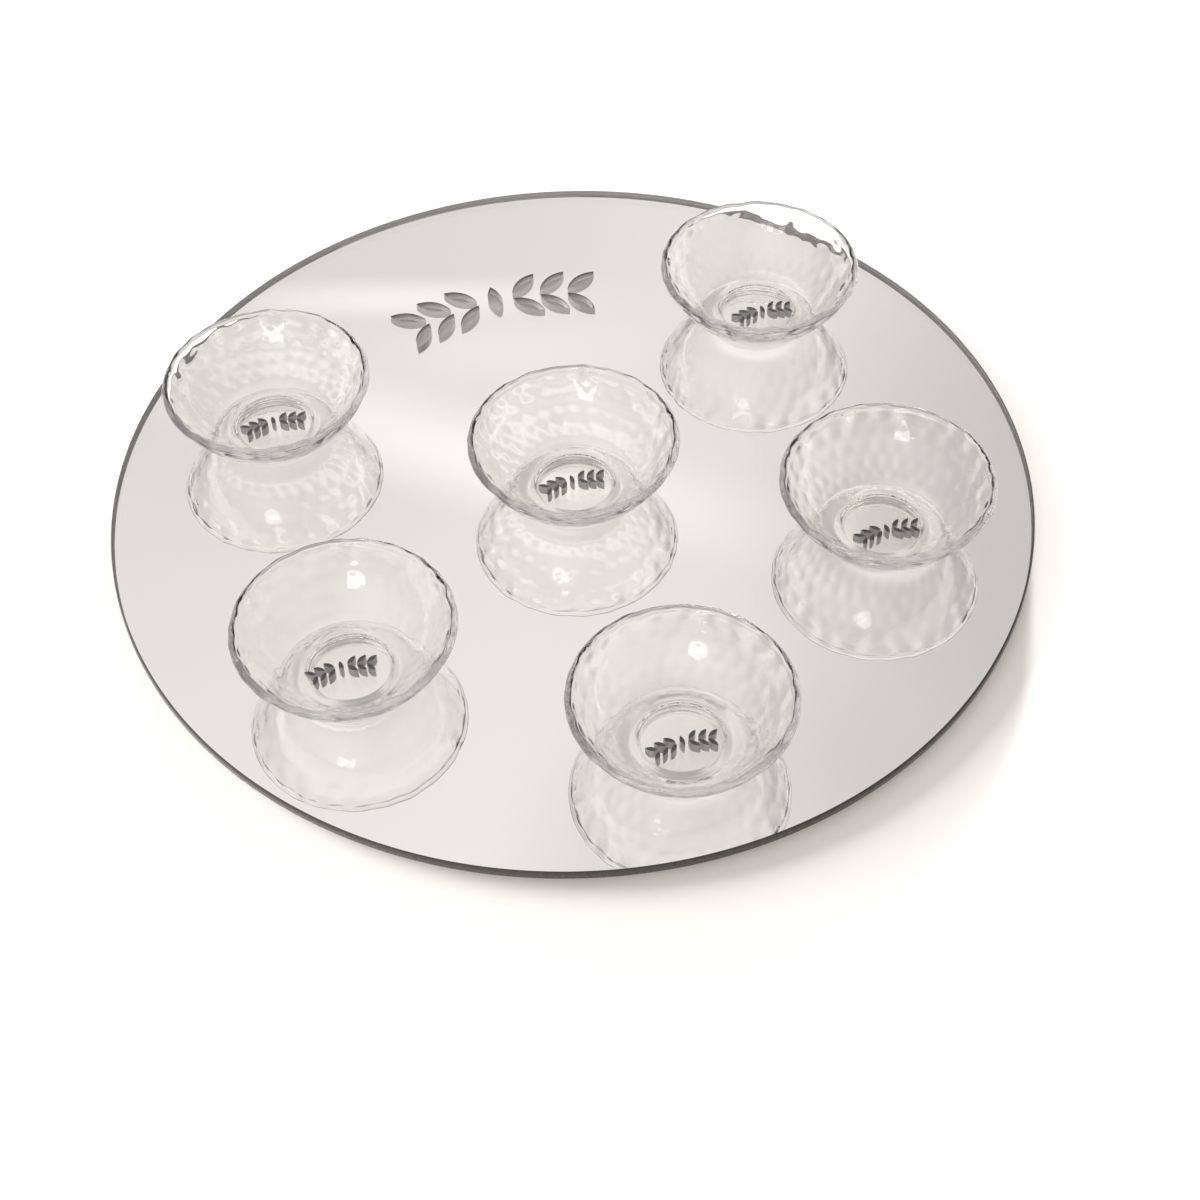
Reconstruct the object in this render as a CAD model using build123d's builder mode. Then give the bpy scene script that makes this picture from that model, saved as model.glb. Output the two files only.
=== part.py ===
from build123d import *
import os

# A seder plate: a round mirror of acrylic glass on stick-on rubber feet, pierced with leaf
# sprigs, with six loose glass bowls standing on it, five on a ring and one in the middle.
# Millimetres and degrees. +Z is up, the origin is the middle of the plate on the table top,
# and the front of the plate is at -Y.

# Mirror disc: a clear sheet with a polished edge, its back silvered and then painted
plate_diameter = 400.0
glass_thickness = 4.0
edge_arris = 0.6
silver_thickness = 0.06
paint_thickness = 0.1
coating_margin = 0.5

# Large sprig, cut through the mirror where the ring has no bowl: pairs of leaves that follow
# an arc both ways from a bud, which points at the plate's edge
sprig_inset = 75.0
leaf_pairs = 3
first_leaf_angle = 4.0
leaf_step_angle = 6.0
leaf_length = 17.0
leaf_width = 6.2
leaf_slant = 42.0
stem_gap = 1.6
bud_length = 18.0
bud_width = 6.5

# Small sprigs, one cut through the mirror at each bowl's place: the large one made smaller
small_sprig_scale = 0.3
upper_mark_inset = 60.2
upper_mark_angle = 33.2
lower_mark_inset = 62.2
lower_mark_angle = -30.3
front_mark_inset = 52.5

# Feet: short tapered rubber bumpers stuck under the plate
foot_count = 6
foot_top_diameter = 12.0
foot_tread_diameter = 9.5
foot_height = 2.5
foot_tread_round = 0.5
foot_inset = 30.0

# Bowls: thick clear glass with a rounded lip and an eased floor, on a low foot ring whose
# inside slopes up to a shallow recess
bowl_diameter = 90.6
bowl_height = 31.3
lip_thickness = 3.6
floor_diameter = 43.0
floor_height = 4.6
floor_round = 16.0
inner_wall_bulge = 2.6
outer_wall_bulge = 3.0
ring_diameter = 42.0
ring_land = 3.0
ring_round = 4.0
recess_slope = 1.5
recess_depth = 0.8
recess_round = 2.0

# How far each bowl was set down from its mark, to the right and to the back
egg_stray_right = 0.1
egg_stray_back = -2.6
shank_bone_stray_right = -2.9
shank_bone_stray_back = -0.1
bitter_herb_stray_right = 0.4
bitter_herb_stray_back = -3.1
fruit_paste_stray_right = -1.4
fruit_paste_stray_back = 2.4
greens_stray_right = 3.5
greens_stray_back = -2.4
lettuce_stray_right = 0.0
lettuce_stray_back = 1.0

# Heights and radii that follow from the sizes above
paint_bottom = foot_height
silver_bottom = paint_bottom + paint_thickness
glass_bottom = silver_bottom + silver_thickness
mirror_top = glass_bottom + glass_thickness
plate_radius = plate_diameter / 2
coating_radius = plate_radius - edge_arris - coating_margin
sprig_radius = plate_radius - sprig_inset
bowl_radius = bowl_diameter / 2
ring_radius = ring_diameter / 2
land_radius = ring_radius - ring_land
recess_radius = land_radius - recess_slope
lip_round = lip_thickness / 2

os.makedirs("parts", exist_ok=True)


def save(piece, name):
    """Label one finished piece and write it to its own file."""
    piece.label = name
    export_step(piece, f"parts/{name}.step")


def place(inset, angle):
    """The point of the plate at an inset from its edge and an angle from +X."""
    return Vector(plate_radius - inset, 0).rotate(Axis.Z, angle)


# Each food's mark on the mirror, mirrored left and right, and how far its bowl strays from it
marks = {
    "egg": place(upper_mark_inset, 180 - upper_mark_angle),
    "shank_bone": place(upper_mark_inset, upper_mark_angle),
    "bitter_herb": Vector(0, 0),
    "fruit_paste": place(lower_mark_inset, lower_mark_angle),
    "greens": place(lower_mark_inset, 180 - lower_mark_angle),
    "lettuce": place(front_mark_inset, -90),
}
strays = {
    "egg": Vector(egg_stray_right, egg_stray_back),
    "shank_bone": Vector(shank_bone_stray_right, shank_bone_stray_back),
    "bitter_herb": Vector(bitter_herb_stray_right, bitter_herb_stray_back),
    "fruit_paste": Vector(fruit_paste_stray_right, fruit_paste_stray_back),
    "greens": Vector(greens_stray_right, greens_stray_back),
    "lettuce": Vector(lettuce_stray_right, lettuce_stray_back),
}


def make_leaf(length, width):
    """A pointed leaf between two arcs, from the origin along +X."""
    with BuildSketch() as leaf:
        with BuildLine():
            upper = ThreePointArc((0, 0), (length / 2, width / 2), (length, 0))
            ThreePointArc(upper @ 1, (length / 2, -width / 2), upper @ 0)
        make_face()
    return leaf.sketch


# The slots that pierce the mirror: the leaves left of the bud, their mirror image and the bud
with BuildSketch() as large_sprig:
    with PolarLocations(sprig_radius, leaf_pairs, 90 + first_leaf_angle, leaf_pairs * leaf_step_angle):
        outer_leaf = Location((stem_gap, 0), 90 - leaf_slant)
        inner_leaf = Location((-stem_gap, 0), 90 + leaf_slant)
        with Locations(outer_leaf, inner_leaf):
            add(make_leaf(leaf_length, leaf_width))
    mirror(about=Plane.YZ)
    with Locations(Location((0, sprig_radius - bud_length / 2), 90)):
        add(make_leaf(bud_length, bud_width))

small_sprig = scale(large_sprig.sketch, by=small_sprig_scale)
small_sprig_radius = sprig_radius * small_sprig_scale

with BuildSketch() as slots:
    add(large_sprig.sketch)
    with Locations([mark - Vector(0, small_sprig_radius) for mark in marks.values()]):
        add(small_sprig)


def make_coat(bottom, thickness):
    """One coat on the back of the sheet, pierced as the sheet is."""
    with BuildPart() as coat:
        with BuildSketch(Plane.XY.offset(bottom)):
            Circle(coating_radius)
            add(slots.sketch, mode=Mode.SUBTRACT)
        extrude(amount=thickness)
    return coat.part


# Mirror: the disc, then the two coats on its back
with BuildPart() as mirror_glass:
    with BuildSketch(Plane.XY.offset(glass_bottom)):
        Circle(plate_radius)
    extrude(amount=glass_thickness)
    chamfer(mirror_glass.edges().filter_by(GeomType.CIRCLE), length=edge_arris)
    with BuildSketch(Plane.XY.offset(glass_bottom)):
        add(slots.sketch)
    extrude(amount=glass_thickness, mode=Mode.SUBTRACT)
save(mirror_glass.part, "mirror_glass")
save(make_coat(silver_bottom, silver_thickness), "silver_coating")
save(make_coat(paint_bottom, paint_thickness), "back_paint")


# Feet: evenly spaced on a circle inside the plate's edge, between the bowls, stuck to the paint
with PolarLocations(plate_radius - foot_inset, foot_count) as foot_circle:
    foot_spots = foot_circle.locations

for number, spot in enumerate(foot_spots, start=1):
    with BuildPart() as foot:
        with BuildSketch(Plane(spot)):
            Circle(foot_tread_diameter / 2)
        with BuildSketch(Plane(spot).offset(foot_height)):
            Circle(foot_top_diameter / 2)
        loft()
        tread_edge = foot.edges().filter_by(GeomType.CIRCLE).sort_by(Axis.Z)[0]
        fillet(tread_edge, radius=foot_tread_round)
    save(foot.part, f"foot_{number}")


def make_bowl(seat):
    """One bowl: its wall section turned about the upright axis through its seat."""
    with BuildPart() as bowl:
        with BuildSketch(Plane(seat.origin, x_dir=seat.x_dir, z_dir=-seat.y_dir)) as section:
            recess_edge = (recess_radius, recess_depth)
            land_edge = (land_radius, 0)
            ring_edge = (ring_radius, 0)
            rim_outside = (bowl_radius, bowl_height - lip_round)
            rim_inside = (bowl_radius - lip_thickness, bowl_height - lip_round)
            floor_edge = (floor_diameter / 2, floor_height)
            with BuildLine():
                Polyline((0, recess_depth), recess_edge, land_edge, ring_edge)
                SagittaArc(ring_edge, rim_outside, -outer_wall_bulge)
                ThreePointArc(rim_outside, (bowl_radius - lip_round, bowl_height), rim_inside)
                SagittaArc(rim_inside, floor_edge, inner_wall_bulge)
                Polyline(floor_edge, (0, floor_height), (0, recess_depth))
            make_face()
            rounds = {
                floor_edge: floor_round,
                ring_edge: ring_round,
                land_edge: recess_round,
                recess_edge: recess_round,
            }
            for corner, radius in rounds.items():
                fillet(section.vertices().sort_by_distance(corner)[0], radius=radius)
        revolve(axis=Axis(seat.origin, seat.z_dir))
    return bowl.part


# Bowls, each standing on the mirror over its mark
for name, mark in marks.items():
    seat = Plane(mark + strays[name] + Vector(0, 0, mirror_top))
    save(make_bowl(seat), f"{name}_bowl")
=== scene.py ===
import math
import random

import bmesh
import bpy
from mathutils import Matrix, Vector


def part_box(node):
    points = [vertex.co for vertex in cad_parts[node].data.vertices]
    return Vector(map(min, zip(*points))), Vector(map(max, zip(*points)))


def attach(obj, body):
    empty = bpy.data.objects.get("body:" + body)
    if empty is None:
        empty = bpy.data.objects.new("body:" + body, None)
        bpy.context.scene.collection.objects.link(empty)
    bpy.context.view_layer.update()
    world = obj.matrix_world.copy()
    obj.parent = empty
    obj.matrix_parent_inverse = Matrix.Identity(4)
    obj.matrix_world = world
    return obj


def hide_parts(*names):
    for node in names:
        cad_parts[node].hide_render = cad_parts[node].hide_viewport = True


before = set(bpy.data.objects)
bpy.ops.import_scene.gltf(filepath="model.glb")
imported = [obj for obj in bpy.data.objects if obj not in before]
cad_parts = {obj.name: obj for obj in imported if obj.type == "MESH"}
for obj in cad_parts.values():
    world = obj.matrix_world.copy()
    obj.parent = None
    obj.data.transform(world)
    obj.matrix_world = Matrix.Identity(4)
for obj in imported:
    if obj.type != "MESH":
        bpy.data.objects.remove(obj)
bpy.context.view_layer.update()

# Plate
# A round of clear acrylic glass, 4 mm thick, its edge polished with a narrow arris. Leaf
# sprigs are cut right through it by laser: a large one at the back and one for each bowl.
MM = 0.001
glass_low, glass_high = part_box("mirror_glass")
plate_radius = 200.0 * MM
plate_steps = 360
arris = 0.6 * MM
top_arris = 1.0 * MM
# An arris is slightly round: its middle comes this near to the sharp corner, as a share of it
arris_bow = 0.3
sprig_radius = 125.0 * MM
large_sprig_half = 60.0 * MM
leaf_pairs = 3
leaf_length = 17.0 * MM
leaf_width = 6.2 * MM
leaf_slant = math.radians(42)
leaf_steps = 10
first_leaf_angle = math.radians(4)
leaf_step_angle = math.radians(6)
stem_gap = 1.6 * MM
bud_length = 18.0 * MM
bud_width = 6.5 * MM
small_sprig_scale = 0.3
# Where each bowl's sprig is cut: how far from the plate's middle, and at which angle in degrees
mark_places = {
    "egg": (139.8 * MM, 146.8),
    "shank_bone": (139.8 * MM, 33.2),
    "bitter_herb": (0.0, 0.0),
    "fruit_paste": (137.8 * MM, -30.3),
    "greens": (137.8 * MM, -149.7),
    "lettuce": (147.5 * MM, -90.0),
}
acrylic_tint = (0.985, 0.990, 0.988, 1.0)
acrylic_ior = 1.49
polished_lower = (0.13, 0.12, 0.105, 1.0)
polished_upper = (0.070, 0.062, 0.052, 1.0)
# The walls of the cut sprigs go from pale at the lower face to dark at the upper one: painted light
# below and painted shade at the top
cut_painted_light = (0.92, 0.91, 0.89, 1.0)
cut_painted_shade = (0.08, 0.078, 0.074, 1.0)
# Seen from inside the sheet, every edge is pale: painted light that stands in for light carried inside
# the sheet
inside_painted_light = (0.92, 0.91, 0.89, 1.0)


def arc_points(start, end, bulge, count):
    """Points from start to end along an arc that bows to the right of the way by bulge."""
    start, end = Vector(start), Vector(end)
    chord = end - start
    half = chord.length / 2
    side = Vector((chord.y, -chord.x)).normalized()
    radius = (half * half + bulge * bulge) / (2 * bulge)
    centre = (start + end) / 2 - side * (radius - bulge)
    first = start - centre
    sweep = first.angle_signed(end - centre)
    turns = [Matrix.Rotation(-sweep * step / count, 2) for step in range(count + 1)]
    return [centre + turn @ first for turn in turns]


def leaf_outline(length, width, foot, heading):
    """Points round a pointed leaf between two arcs, from its foot along its heading."""
    there = arc_points((0, 0), (length, 0), width / 2, leaf_steps)
    back_again = arc_points((length, 0), (0, 0), width / 2, leaf_steps)
    turn = Matrix.Rotation(heading, 2)
    return [foot + turn @ point for point in there[:-1] + back_again[:-1]]


def spot_at(radius, angle):
    """A point of the plate by its distance and angle from the middle."""
    return Vector((radius * math.cos(angle), radius * math.sin(angle)))


bud_foot = Vector((0, sprig_radius - bud_length / 2))
large_sprig = [leaf_outline(bud_length, bud_width, bud_foot, math.pi / 2)]
for side in (-1, 1):
    for number in range(leaf_pairs):
        angle = math.pi / 2 + side * (first_leaf_angle + number * leaf_step_angle)
        for edge in (-1, 1):
            foot = spot_at(sprig_radius + edge * stem_gap, angle)
            heading = angle + side * (math.pi / 2 - edge * leaf_slant)
            large_sprig.append(leaf_outline(leaf_length, leaf_width, foot, heading))
slots = list(large_sprig)
small_sprig_middle = Vector((0, sprig_radius * small_sprig_scale))
for radius, degrees in mark_places.values():
    shift = spot_at(radius, math.radians(degrees)) - small_sprig_middle
    slots += [[point * small_sprig_scale + shift for point in leaf] for leaf in large_sprig]


def mesh_data(name, mesh):
    """A finished mesh under its name, with every face turned outwards."""
    bmesh.ops.recalc_face_normals(mesh, faces=mesh.faces)
    data = bpy.data.meshes.new(name)
    mesh.to_mesh(data)
    mesh.free()
    return data


def pierced_round(name, rim):
    """A closed round sheet with the slots cut through it.

    The rim holds the (radius, height) points of the sheet's edge, from the bottom up.
    """
    mesh = bmesh.new()
    turns = [math.tau * step / plate_steps for step in range(plate_steps)]
    walls = [[]]
    for radius, height in rim:
        walls[0].append([mesh.verts.new((*spot_at(radius, turn), height)) for turn in turns])
    bottom, top = rim[0][1], rim[-1][1]
    for slot in slots:
        walls.append([[mesh.verts.new((*point, height)) for point in slot] for height in (bottom, top)])
    for rings in walls:
        for lower, upper in zip(rings, rings[1:]):
            for step in range(len(lower)):
                mesh.faces.new((lower[step - 1], lower[step], upper[step], upper[step - 1]))
    for level in (0, -1):
        edges = []
        for rings in walls:
            ring = rings[level]
            edges += [mesh.edges.get((ring[step - 1], ring[step])) for step in range(len(ring))]
        bmesh.ops.triangle_fill(mesh, use_beauty=True, edges=edges)
    return mesh_data(name, mesh)


def add_piece(name, data, *materials, smooth_angle=20.0):
    """Put a mesh in the scene, with its materials, smooth where its faces meet gently."""
    piece = bpy.data.objects.new(name, data)
    bpy.context.scene.collection.objects.link(piece)
    for material in materials:
        data.materials.append(material)
    data.polygons.foreach_set("use_smooth", [True] * len(data.polygons))
    data.set_sharp_from_angle(angle=math.radians(smooth_angle))
    return piece


def new_material(name):
    """A node material with its Principled shader, and its node tree."""
    material = bpy.data.materials.new(name)
    material.use_nodes = True
    tree = material.node_tree
    return material, tree, tree.nodes["Principled BSDF"]


def set_inputs(node, **values):
    """Set a node's plain inputs, named with underscores for spaces."""
    for name, value in values.items():
        node.inputs[name.replace("_", " ")].default_value = value


def new_group(name, kind, inputs, output):
    """A node group whose named sockets are all of one kind, with the nodes at its two ends."""
    group = bpy.data.node_groups.new(name, "ShaderNodeTree")
    for label in inputs:
        group.interface.new_socket(label, in_out="INPUT", socket_type=kind)
    group.interface.new_socket(output, in_out="OUTPUT", socket_type=kind)
    return group, group.nodes.new("NodeGroupInput"), group.nodes.new("NodeGroupOutput")


def add_group(tree, group, **values):
    """Place a node group in a tree with its own values and return its output."""
    node = tree.nodes.new("ShaderNodeGroup")
    node.node_tree = group
    set_inputs(node, **values)
    return node.outputs[0]


# The faint unevenness that every finish here shares: soft noise, in millimetre cells
uneven, group_in, group_out = new_group(
    "uneven_finish", "NodeSocketFloat", ("Cell mm", "Low", "High"), "Value"
)
place = uneven.nodes.new("ShaderNodeTexCoord")
per_metre = uneven.nodes.new("ShaderNodeMath")
per_metre.operation = "DIVIDE"
per_metre.inputs[0].default_value = 1 / MM
noise = uneven.nodes.new("ShaderNodeTexNoise")
set_inputs(noise, Detail=3.0, Roughness=0.55)
spread = uneven.nodes.new("ShaderNodeMapRange")
set_inputs(spread, From_Min=0.3, From_Max=0.7)
uneven.links.new(group_in.outputs["Cell mm"], per_metre.inputs[1])
uneven.links.new(place.outputs["Object"], noise.inputs["Vector"])
uneven.links.new(per_metre.outputs[0], noise.inputs["Scale"])
uneven.links.new(noise.outputs["Fac"], spread.inputs["Value"])
uneven.links.new(group_in.outputs["Low"], spread.inputs["To Min"])
uneven.links.new(group_in.outputs["High"], spread.inputs["To Max"])
uneven.links.new(spread.outputs["Result"], group_out.inputs["Value"])


def add_uneven(tree, cell_mm, low=0.0, high=1.0):
    """Place the unevenness in a tree, from low to high, and return its output."""
    return add_group(tree, uneven, Cell_mm=cell_mm, Low=low, High=high)


def add_bump(tree, shader, height, strength, distance):
    """Feed a height to the shader's normal through a bump."""
    bump = tree.nodes.new("ShaderNodeBump")
    set_inputs(bump, Strength=strength, Distance=distance)
    tree.links.new(height, bump.inputs["Height"])
    tree.links.new(bump.outputs["Normal"], shader.inputs["Normal"])


def add_blend(tree, factor, first, second):
    """Mix two colours, plain or from an output, by a factor output and return the colour."""
    mix = tree.nodes.new("ShaderNodeMix")
    mix.data_type = "RGBA"
    for socket, colour in (("A", first), ("B", second)):
        if isinstance(colour, tuple):
            mix.inputs[socket].default_value = colour
        else:
            tree.links.new(colour, mix.inputs[socket])
    tree.links.new(factor, mix.inputs["Factor"])
    return mix.outputs["Result"]


acrylic_finish, tree, shader = new_material("clear_acrylic")
set_inputs(shader, Base_Color=acrylic_tint, Roughness=0.0, IOR=acrylic_ior, Transmission_Weight=1.0)
add_bump(tree, shader, add_uneven(tree, 40.0), strength=0.02, distance=0.02 * MM)

# The tone of the sheet's edges, which changes unevenly from the lower face to the upper one
edge_tones, group_in, group_out = new_group("edge_tones", "NodeSocketColor", ("Lower", "Upper"), "Tone")
place = edge_tones.nodes.new("ShaderNodeTexCoord")
height = edge_tones.nodes.new("ShaderNodeSeparateXYZ")
stray_height = edge_tones.nodes.new("ShaderNodeMath")
stray_height.operation = "ADD"
stray = add_uneven(edge_tones, 0.8, -0.5 * MM, 0.5 * MM)
rise = edge_tones.nodes.new("ShaderNodeMapRange")
set_inputs(rise, From_Min=glass_low.z, From_Max=glass_high.z)
edge_tones.links.new(place.outputs["Object"], height.inputs[0])
edge_tones.links.new(height.outputs["Z"], stray_height.inputs[0])
edge_tones.links.new(stray, stray_height.inputs[1])
edge_tones.links.new(stray_height.outputs[0], rise.inputs["Value"])
tones = group_in.outputs["Lower"], group_in.outputs["Upper"]
tone = add_blend(edge_tones, rise.outputs["Result"], *tones)
edge_tones.links.new(tone, group_out.inputs["Tone"])


def edge_material(name, lower, upper, smoothest, roughest, painted_glow):
    """The finish of an edge of the sheet: pale with painted light as seen from inside the sheet, toned
    outside, and with a painted glow of the given strength.
    """
    material, tree, shader = new_material(name)
    set_inputs(shader, IOR=acrylic_ior, Emission_Strength=painted_glow)
    outside = add_group(tree, edge_tones, Lower=lower, Upper=upper)
    face_side = tree.nodes.new("ShaderNodeNewGeometry")
    tone = add_blend(tree, face_side.outputs["Backfacing"], outside, inside_painted_light)
    tree.links.new(tone, shader.inputs["Base Color"])
    tree.links.new(tone, shader.inputs["Emission Color"])
    tree.links.new(add_uneven(tree, 1.5, smoothest, roughest), shader.inputs["Roughness"])
    add_bump(tree, shader, add_uneven(tree, 0.8), strength=0.15, distance=0.02 * MM)
    return material


# The walls of the large sprig glow faintly in their own tones: a painted glow, over painted light low
# on the walls and painted shade at their tops, that stands in for light travelling inside the sheet and
# coming out there
edge_finish = edge_material("polished_edge", polished_lower, polished_upper, 0.16, 0.30, painted_glow=0.0)
cut_finish = edge_material("laser_cut", cut_painted_light, cut_painted_shade, 0.35, 0.55, painted_glow=0.13)

plate_rim = [
    (plate_radius - arris, glass_low.z),
    (plate_radius - arris_bow * arris, glass_low.z + arris_bow * arris),
    (plate_radius, glass_low.z + arris),
    (plate_radius, glass_high.z - top_arris),
    (plate_radius - arris_bow * top_arris, glass_high.z - arris_bow * top_arris),
    (plate_radius - top_arris, glass_high.z),
]
plate_data = pierced_round("plate_glass", plate_rim)
plate_glass = add_piece("plate_glass", plate_data, acrylic_finish, edge_finish, cut_finish)
# A face that doesn't lie flat takes the cut finish in the large sprig and the edge finish elsewhere
for face in plate_data.polygons:
    spot = face.center.xy
    in_large_sprig = spot.y > sprig_radius - leaf_length and abs(spot.x) < large_sprig_half
    if abs(face.normal.z) < 0.99:
        face.material_index = 2 if in_large_sprig and spot.length < plate_radius - arris else 1
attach(plate_glass, "plate")
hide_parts("mirror_glass")

# Silvering
# A bright metal film laid on the back of the sheet before it is cut. It bites into the sheet
# by a hair, so that light meets the silver and no second face of acrylic.
silver_low, silver_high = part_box("silver_coating")
silver_radius = 199.4 * MM
silver_bite = 0.03 * MM
silver_colour = (0.93, 0.925, 0.915, 1.0)

silver_finish, tree, shader = new_material("silver_film")
set_inputs(shader, Base_Color=silver_colour, Metallic=1.0)
tree.links.new(add_uneven(tree, 25.0, 0.0, 0.012), shader.inputs["Roughness"])

silver_rim = [(silver_radius, silver_low.z), (silver_radius, silver_high.z + silver_bite)]
silver = add_piece("silver", pierced_round("silver", silver_rim), silver_finish)
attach(silver, "plate")
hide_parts("silver_coating")

# Back paint
# Two sprayed coats of grey paint that keep damp from the silver. The solid's own form is
# right, so it only takes its finish here.
paint_dark = (0.27, 0.28, 0.29, 1.0)
paint_light = (0.36, 0.37, 0.38, 1.0)

paint_finish, tree, shader = new_material("back_paint")
spray = add_uneven(tree, 3.0)
tree.links.new(add_blend(tree, spray, paint_dark, paint_light), shader.inputs["Base Color"])
tree.links.new(add_uneven(tree, 1.2, 0.45, 0.65), shader.inputs["Roughness"])
add_bump(tree, shader, spray, strength=0.3, distance=0.05 * MM)


def refinish(node, material):
    """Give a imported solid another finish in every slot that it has."""
    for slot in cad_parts[node].material_slots:
        slot.material = material


refinish("back_paint", paint_finish)

# Feet
# Small moulded bumpers of cloudy rubber with glue on their backs, pressed on in a circle
# under the plate so that it doesn't slide or scratch the table.
rubber_dark = (0.62, 0.63, 0.63, 1.0)
rubber_light = (0.76, 0.77, 0.77, 1.0)

rubber_finish, tree, shader = new_material("cloudy_rubber")
cloud = add_uneven(tree, 4.0)
tree.links.new(add_blend(tree, cloud, rubber_dark, rubber_light), shader.inputs["Base Color"])
tree.links.new(add_uneven(tree, 0.9, 0.38, 0.55), shader.inputs["Roughness"])
set_inputs(shader, Subsurface_Weight=0.3, Subsurface_Scale=1.5 * MM)

foot_names = [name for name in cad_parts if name.startswith("foot_")]
for name in foot_names:
    refinish(name, rubber_finish)

# Bowls
# Thick clear glass pressed in a hammered mould: staggered rows of shallow dents outside, the
# top row struck deepest across the lip, a smooth well inside and a low rounded foot ring.
lip_thickness = 3.6 * MM
floor_radius = 21.5 * MM
floor_height = 4.6 * MM
floor_ease = 4.7 * MM
inner_bulge = 2.6 * MM
outer_bulge = 3.0 * MM
ring_radius = 21.0 * MM
ring_land = 3.0 * MM
ring_ease = 1.2 * MM
recess_slope = 1.5 * MM
recess_depth = 0.8 * MM
recess_ease = 0.5 * MM
standing_gap = 0.03 * MM
bowl_steps = 300
outside_steps = 46
lip_steps = 12
inside_steps = 28
floor_steps = 10
# Dents: their depth in each row from the foot up, how much shallower or deeper one may be, and,
# in rows and columns, where the first row lies, how far a dent reaches and how far it strays.
# They come in over the lowest sixth of the wall
dents_round = 30
dent_depths = [0.15 * MM, 0.165 * MM, 0.185 * MM, 0.21 * MM, 0.36 * MM]
dent_spread = (0.6, 1.25)
first_row = 0.6
dent_reach = 0.64
dent_stray = 0.16
dent_onset = 6
# Waves of the lip: how many go round the bowl, and how far they draw the lip down and, turned on
# by some radians, its inner side outwards. They begin in the top fifth of the wall outside and
# die out over the first points inside
lip_waves = [(5, 0.18 * MM), (13, 0.32 * MM), (23, 0.48 * MM)]
outward_turn = 1.0
wave_onset = 5
wave_end = 8
bowl_tint = (0.990, 0.984, 0.968, 1.0)
bowl_ior = 1.51


def eased_corner(before, corner, after, reach, count=6):
    """Points of a curve that rounds a corner, from reach short of it to reach past it."""
    before, corner, after = Vector(before), Vector(corner), Vector(after)
    start = corner + (before - corner).normalized() * reach
    end = corner + (after - corner).normalized() * reach
    shares = [step / count for step in range(count + 1)]
    return [start * (1 - t) ** 2 + corner * 2 * t * (1 - t) + end * t ** 2 for t in shares]


def bowl_section(rim_radius, rim_height):
    """A bowl's section as (radius, height) points in four stretches: base, outside, lip and inside.

    Together they run from the axis under the floor round the outside and back to the axis.
    """
    lip_round = lip_thickness / 2
    recess_edge = (ring_radius - ring_land - recess_slope, recess_depth)
    ring_inside = (ring_radius - ring_land, standing_gap)
    ring_outside = (ring_radius, standing_gap)
    rim_out = (rim_radius, rim_height - lip_round)
    rim_in = (rim_radius - lip_thickness, rim_height - lip_round)
    floor_edge = (floor_radius, floor_height)
    floor_middle = (0, floor_height)
    wall = arc_points(ring_outside, rim_out, outer_bulge, outside_steps)
    outside = [point for point in wall if (point - Vector(ring_outside)).length > ring_ease]
    well = arc_points(rim_in, floor_edge, -inner_bulge, inside_steps)
    inside = [point for point in well if (point - Vector(floor_edge)).length > floor_ease]
    base = [(0, recess_depth), (recess_edge[0] * 0.5, recess_depth)]
    base += eased_corner(base[-1], recess_edge, ring_inside, recess_ease)
    base += eased_corner(recess_edge, ring_inside, ring_outside, recess_ease)
    base += eased_corner(ring_inside, ring_outside, outside[0], ring_ease)[:-1]
    lip = arc_points(rim_out, rim_in, lip_round, lip_steps)[1:-1]
    inside += eased_corner(inside[-1], floor_edge, floor_middle, floor_ease, floor_steps)[1:]
    inside += [(inside[-1].x * 0.5, floor_height), floor_middle]
    return base, outside, lip, inside


def place_dents(chance):
    """Row by row, where each dent's middle lies: its share of the wall, its column and its depth."""
    rows = len(dent_depths)
    dents = []
    for row, row_depth in enumerate(dent_depths):
        share = (row + first_row) / rows
        stagger = 0.5 * (row % 2)
        for column in range(dents_round):
            stray = chance.uniform(-dent_stray, dent_stray)
            rise = chance.uniform(-dent_stray, dent_stray)
            depth = row_depth * chance.uniform(*dent_spread)
            dents.append((share + rise / rows, column + stagger + stray, depth))
    return dents


def dent_at(dents, share, angle):
    """How deep the wall is struck at a share of its height and an angle."""
    column = angle / math.tau * dents_round
    struck = 0.0
    for dent_share, dent_column, depth in dents:
        across = (column - dent_column + dents_round / 2) % dents_round - dents_round / 2
        along = (share - dent_share) * len(dent_depths)
        off = (across * across + along * along) / (dent_reach * dent_reach)
        if off < 1:
            struck += depth * (1 - off) ** 2
    return struck


def wave_at(waves, angle):
    """How far the lip is drawn from its true place at an angle, always to the same side."""
    return sum(size * (1 + math.sin(count * angle + phase)) / 2 for count, size, phase in waves)


def turned_mesh(name, profile, steps, middle, shift):
    """A closed mesh turned about an upright axis through middle, from (radius, height) points.

    The profile runs from the axis round the outside and back to the axis. shift takes a profile
    index and an angle and returns how far that point moves out and up.
    """
    mesh = bmesh.new()
    rings = []
    for index, (radius, height) in enumerate(profile):
        if radius == 0:
            rings.append([mesh.verts.new(middle + Vector((0, 0, height)))])
            continue
        ring = []
        for step in range(steps):
            angle = math.tau * step / steps
            out, rise = shift(index, angle)
            ring.append(mesh.verts.new(middle + Vector((*spot_at(radius + out, angle), height + rise))))
        rings.append(ring)
    for lower, upper in zip(rings, rings[1:]):
        for step in range(steps):
            after = (step + 1) % steps
            if len(lower) == 1:
                mesh.faces.new((lower[0], upper[after], upper[step]))
            elif len(upper) == 1:
                mesh.faces.new((lower[step], lower[after], upper[0]))
            else:
                mesh.faces.new((lower[step], lower[after], upper[after], upper[step]))
    return mesh_data(name, mesh)


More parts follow.
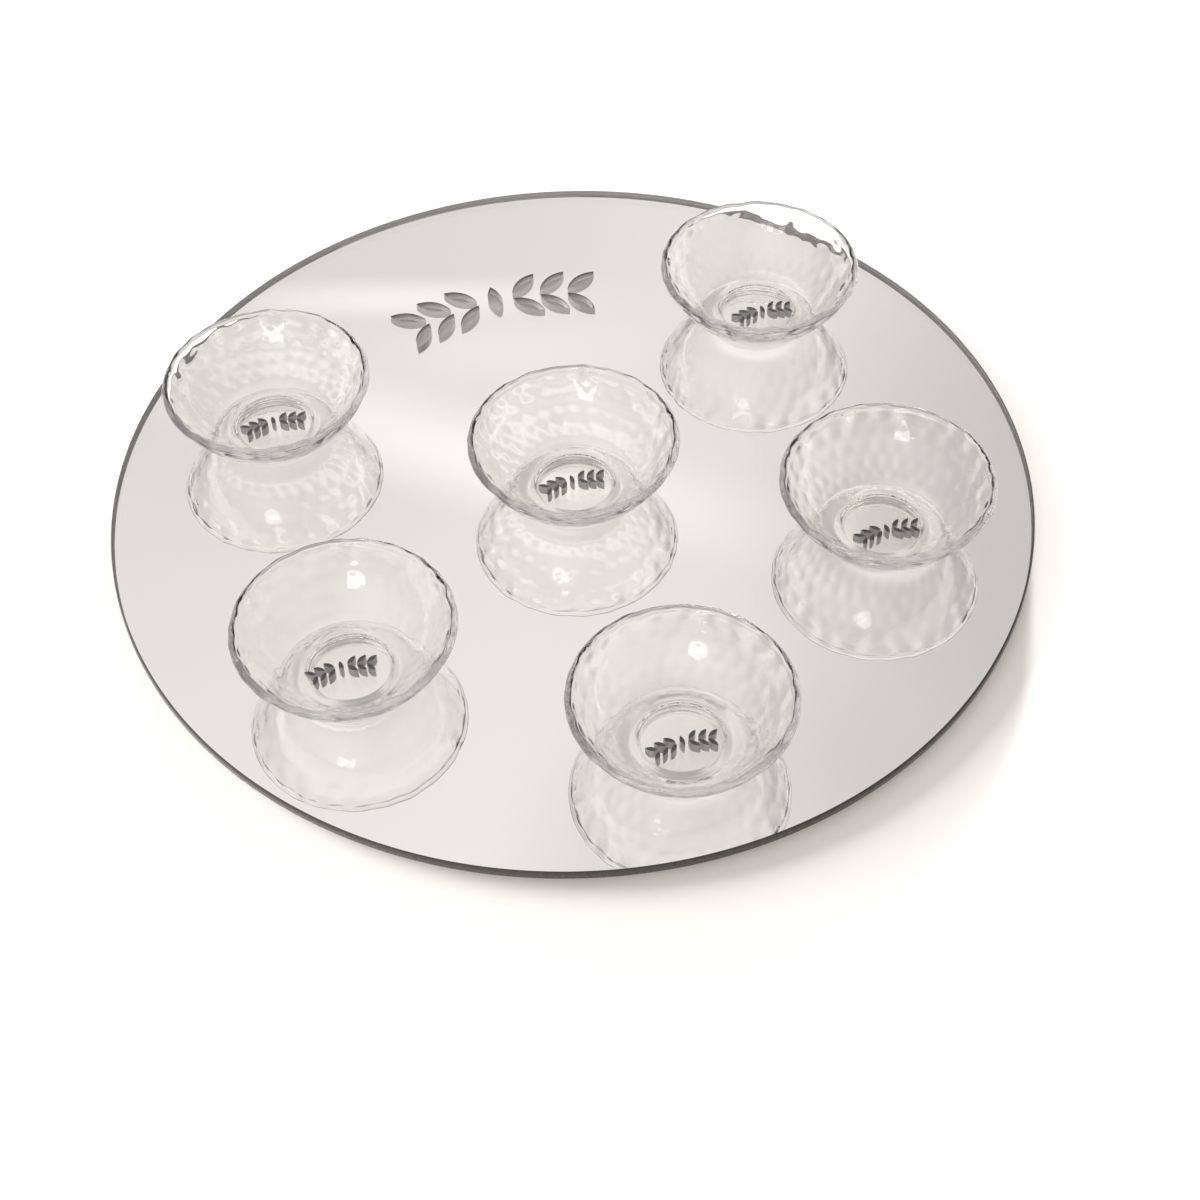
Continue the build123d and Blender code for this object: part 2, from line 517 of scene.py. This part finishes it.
def hammered_bowl(name, low, high, seed):
    """One bowl's mesh, between the corners of its solid, with its own stray in the dents."""
    middle = Vector(((low.x + high.x) / 2, (low.y + high.y) / 2, low.z))
    base, outside, lip, inside = bowl_section((high.x - low.x) / 2, high.z - low.z)
    profile = base + outside + lip + inside
    first_outside = len(base)
    first_lip = first_outside + len(outside)
    first_inside = first_lip + len(lip)
    chance = random.Random(seed)
    dents = place_dents(chance)
    down_waves = [(count, size, chance.uniform(0, math.tau)) for count, size in lip_waves]
    out_waves = [(count, size, phase + outward_turn) for count, size, phase in down_waves]

    def shift(index, angle):
        """How far a point of the section moves out and up, struck by dents and drawn by waves."""
        if index < first_outside or index >= first_inside + wave_end:
            return 0.0, 0.0
        drawn_out = wave_at(out_waves, angle)
        drawn_down = wave_at(down_waves, angle)
        if index >= first_inside:
            fade = 1 - (index - first_inside) / wave_end
            return drawn_out * fade, -drawn_down * fade
        if index < first_lip:
            share = (index - first_outside) / (len(outside) - 1)
            dent_fade = min(1.0, share * dent_onset)
            drawn_out = 0.0
            drawn_down *= max(0.0, 1 - (1 - share) * wave_onset)
        else:
            share = 1.0
            over_lip = (index - first_lip + 1) / (len(lip) + 1)
            dent_fade = 1.0 - over_lip * over_lip
            drawn_out *= over_lip
        struck = dent_at(dents, share, angle) * dent_fade
        before, after = profile[index - 1], profile[index + 1]
        way = Vector((after[0] - before[0], after[1] - before[1])).normalized()
        return drawn_out - struck * way.y, struck * way.x - drawn_down

    return turned_mesh(name, profile, bowl_steps, middle, shift)


bowl_finish, tree, shader = new_material("hammered_glass")
set_inputs(shader, Base_Color=bowl_tint, Roughness=0.0, IOR=bowl_ior, Transmission_Weight=1.0)
add_bump(tree, shader, add_uneven(tree, 9.0), strength=0.15, distance=0.15 * MM)

for seed, name in enumerate(mark_places):
    node = f"{name}_bowl"
    bowl_data = hammered_bowl(f"{name}_glass", *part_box(node), seed)
    bowl = add_piece(f"{name}_glass", bowl_data, bowl_finish, smooth_angle=40.0)
    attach(bowl, name)
    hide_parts(node)
    # Clear glass lets the light through, so it leaves no dark shadow
    bowl.visible_shadow = False

# Table top
# The plate stands on a wide white sheet, which isn't part of it. The sheet takes the soft
# shadow and goes on to the horizon.
sheet_half = 40.0
sheet_colour = (0.80, 0.776, 0.748, 1.0)
sheet_glow = 0.19
glow_tint = (1.0, 0.91, 0.83, 1.0)

sheet_data = bpy.data.meshes.new("table_sheet")
corner_signs = [(-1, -1), (1, -1), (1, 1), (-1, 1)]
corners = [(right * sheet_half, away * sheet_half, 0) for right, away in corner_signs]
sheet_data.from_pydata(corners, [], [(0, 1, 2, 3)])


def add_math(tree, operation, first, second):
    """Put two values, plain or from an output, through one operation and return the output."""
    node = tree.nodes.new("ShaderNodeMath")
    node.operation = operation
    for socket, value in zip(node.inputs, (first, second)):
        if isinstance(value, float):
            socket.default_value = value
        else:
            tree.links.new(value, socket)
    return node.outputs[0]


# The sheet glows a little for the camera, the mirror and the glass, and lights nothing by it
sheet_finish, tree, shader = new_material("table_sheet")
set_inputs(shader, Base_Color=sheet_colour, Roughness=1.0, Specular_IOR_Level=0.0)
path = tree.nodes.new("ShaderNodeLightPath")
seen = path.outputs["Is Camera Ray"]
for label in ("Is Glossy Ray", "Is Transmission Ray"):
    seen = add_math(tree, "MAXIMUM", seen, path.outputs[label])
glow = tree.nodes.new("ShaderNodeEmission")
set_inputs(glow, Color=glow_tint)
tree.links.new(add_math(tree, "MULTIPLY", seen, sheet_glow), glow.inputs["Strength"])
both = tree.nodes.new("ShaderNodeAddShader")
tree.links.new(shader.outputs[0], both.inputs[0])
tree.links.new(glow.outputs[0], both.inputs[1])
tree.links.new(both.outputs[0], tree.nodes["Material Output"].inputs["Surface"])
table_sheet = add_piece("table_sheet", sheet_data, sheet_finish)

# View
# From the front and a little to the left, about fifty degrees above the table, through a
# short telephoto lens held slightly off level.
view_heading = math.radians(-16.5)
view_height = math.radians(50.254)
view_roll = math.radians(-1.310)
view_distance = 833.76 * MM
view_aim = Vector((10.952 * MM, -67.439 * MM, glass_high.z))
view_lens = 60.2

to_frame = Matrix.Rotation(view_heading, 3, "Z")
back = to_frame @ Vector((0, -math.cos(view_height), math.sin(view_height)))
right = to_frame @ Vector((1, 0, 0))
upward = back.cross(right)
right_rolled = right * math.cos(view_roll) + upward * math.sin(view_roll)
up_rolled = upward * math.cos(view_roll) - right * math.sin(view_roll)
aim = to_frame @ view_aim
camera_data = bpy.data.cameras.new("view")
camera_data.lens = view_lens
camera_data.clip_start = 0.01
camera = bpy.data.objects.new("view", camera_data)
turned = Matrix((right_rolled, up_rolled, back)).transposed().to_4x4()
camera.matrix_world = Matrix.Translation(aim + back * view_distance) @ turned
bpy.context.scene.collection.objects.link(camera)
bpy.context.scene.camera = camera

# Light
# A white studio with a wide pale ceiling, soft streaks of light on it, darker parts overhead and
# at the right, a bright wall behind the viewer and a dim horizon. Two low lights throw the
# shadows over the table, and a small lamp behind the viewer glints in the bowls.
room_level = 0.50
room_tint = (1.0, 0.972, 0.942, 1.0)
# Soft patches of the studio: the way to each (right, away, up), how wide it is in degrees,
# from where it is full to where it ends, and how much brighter it is than the room
studio_patches = {
    "ceiling": ((0.0, 0.9, 1.0), 24.0, 55.0, 0.36),
    "right_end": ((0.45, 0.85, 1.0), 4.0, 16.5, -0.24),
    "left_end": ((-0.30, 0.78, 1.0), 3.0, 11.0, -0.03),
    "far_left_end": ((-0.26, 1.30, 1.0), 3.0, 12.0, -0.07),
    "overhead": ((-0.10, 0.45, 1.0), 4.0, 20.0, 0.07),
    "dark_overhead": ((0.0, 0.30, 1.0), 5.0, 16.0, -0.48),
    "front_right_end": ((0.08, 0.60, 1.0), 1.5, 8.0, -0.12),
    "low_back": ((0.15, 1.0, 0.22), 8.0, 26.0, 0.30),
    "right_front": ((0.75, -0.60, 0.35), 25.0, 65.0, -0.36),
    "left_front": ((-0.70, -0.40, 0.40), 12.0, 40.0, 0.45),
    "front_wall": ((-0.10, -0.85, 0.52), 4.0, 38.0, 0.68),
}
# Streaks on the ceiling: the way to the middle of each, how far it leans from level in degrees,
# half its length and width as sines, and how much brighter it is
studio_streaks = [
    ((-0.15, 1.127, 1.0), 0.0, 0.130, 0.013, 0.20),
    ((-0.10, 0.970, 1.0), -16.0, 0.230, 0.035, 0.22),
    ((-0.08, 1.070, 1.0), 0.0, 0.120, 0.038, 0.11),
]
# All round, the room is dimmer towards the horizon: between which heights, as sines
horizon_heights = (0.08, 0.50)
horizon_dimming = 0.7
# The camera sees a white backdrop above the table, and the mirror, seen from behind, a pale one
# low at the right front: how bright each is, the way to the pale one, and its ends as cosines
backdrop_white = 1.07
backdrop_pale = 0.62
backdrop_way = (0.80, -0.60, 0.10)
backdrop_ends = (0.64, 0.88)

world = bpy.data.worlds.new("studio")
bpy.context.scene.world = world
world.use_nodes = True
tree = world.node_tree
background = tree.nodes["Background"]
place = tree.nodes.new("ShaderNodeTexCoord")
look = tree.nodes.new("ShaderNodeVectorRotate")
look.rotation_type = "Z_AXIS"
set_inputs(look, Angle=-view_heading)
tree.links.new(place.outputs["Generated"], look.inputs["Vector"])


def add_range(tree, value, low, high, amount):
    """A value eased from 0 at low to amount at high."""
    ease = tree.nodes.new("ShaderNodeMapRange")
    ease.interpolation_type = "SMOOTHSTEP"
    set_inputs(ease, From_Min=low, From_Max=high, To_Min=0.0, To_Max=amount)
    tree.links.new(value, ease.inputs["Value"])
    return ease.outputs["Result"]


def add_facing(tree, way):
    """How nearly the look goes a way, as the cosine of the angle between them."""
    dot = tree.nodes.new("ShaderNodeVectorMath")
    dot.operation = "DOT_PRODUCT"
    dot.inputs[1].default_value = Vector(way).normalized()
    tree.links.new(look.outputs["Vector"], dot.inputs[0])
    return dot.outputs["Value"]


level = room_level
for way, full, end, amount in studio_patches.values():
    ends = math.cos(math.radians(end)), math.cos(math.radians(full))
    level = add_math(tree, "ADD", add_range(tree, add_facing(tree, way), *ends, amount), level)
for way, lean, half_length, half_width, amount in studio_streaks:
    middle = Vector(way).normalized()
    level_way = middle.cross((1, 0, 0)).cross(middle).normalized()
    along = Matrix.Rotation(math.radians(lean), 3, middle) @ level_way
    streak = amount
    for direction, half in ((along, half_length), (middle.cross(along), half_width)):
        off = add_math(tree, "ABSOLUTE", add_facing(tree, direction), 0.0)
        streak = add_math(tree, "MULTIPLY", add_range(tree, off, half, 0.0, 1.0), streak)
    level = add_math(tree, "ADD", streak, level)
lit = add_range(tree, add_facing(tree, (0.0, 0.0, 1.0)), *horizon_heights, horizon_dimming)
level = add_math(tree, "MULTIPLY", add_math(tree, "ADD", lit, 1.0 - horizon_dimming), level)
path = tree.nodes.new("ShaderNodeLightPath")
pale = add_range(tree, add_facing(tree, backdrop_way), *backdrop_ends, backdrop_pale)
pale = add_math(tree, "MULTIPLY", path.outputs["Is Glossy Ray"], pale)
white = add_math(tree, "MULTIPLY", path.outputs["Is Camera Ray"], backdrop_white)
for backdrop in (pale, white):
    level = add_math(tree, "MAXIMUM", level, backdrop)
tree.links.new(level, background.inputs["Strength"])
set_inputs(background, Color=room_tint)


def add_lamp(name, kind, way, colour, distance=2.0):
    """A lamp of a kind that looks at the plate from a way (right, away, up)."""
    data = bpy.data.lights.new(name, kind)
    data.color = colour
    lamp = bpy.data.objects.new(name, data)
    spot = to_frame @ Vector(way).normalized() * distance
    lamp.matrix_world = Matrix.Translation(spot) @ spot.to_track_quat("Z", "Y").to_matrix().to_4x4()
    bpy.context.scene.collection.objects.link(lamp)
    return lamp


# Two low lights, whose shadows cross at the front right: neither is seen in the mirror. The way
# to each, how wide it is in degrees, and its strength
low_light_tint = (0.96, 0.985, 1.0)
low_lights = {
    "left_light": ((-0.920, 0.385, 0.080), 45.0, 13.4),
    "back_light": ((0.166, 0.983, 0.072), 6.0, 20.5),
}
for name, (way, across, strength) in low_lights.items():
    lamp = add_lamp(name, "SUN", way, low_light_tint)
    lamp.data.angle = math.radians(across)
    lamp.data.energy = strength
    lamp.visible_glossy = False
    lamp.visible_transmission = False

front_lamp_way = (-0.25, -0.88, 0.41)
front_lamp_tint = (1.0, 0.99, 0.975)
front_lamp_width = 0.44
front_lamp_height = 0.16
front_lamp_glow = 5.0
front_lamp = add_lamp("front_lamp", "AREA", front_lamp_way, front_lamp_tint, distance=1.5)
front_lamp.data.shape = "RECTANGLE"
front_lamp.data.size = front_lamp_width
front_lamp.data.size_y = front_lamp_height
front_lamp.data.energy = front_lamp_glow * math.pi * front_lamp_width * front_lamp_height

# Light goes on bouncing inside the thick glass for as long as it would in the real bowls
light_paths = bpy.context.scene.cycles
light_paths.max_bounces = 24
light_paths.glossy_bounces = 16
light_paths.transmission_bounces = 24

bpy.context.scene.view_settings.view_transform = "Standard"
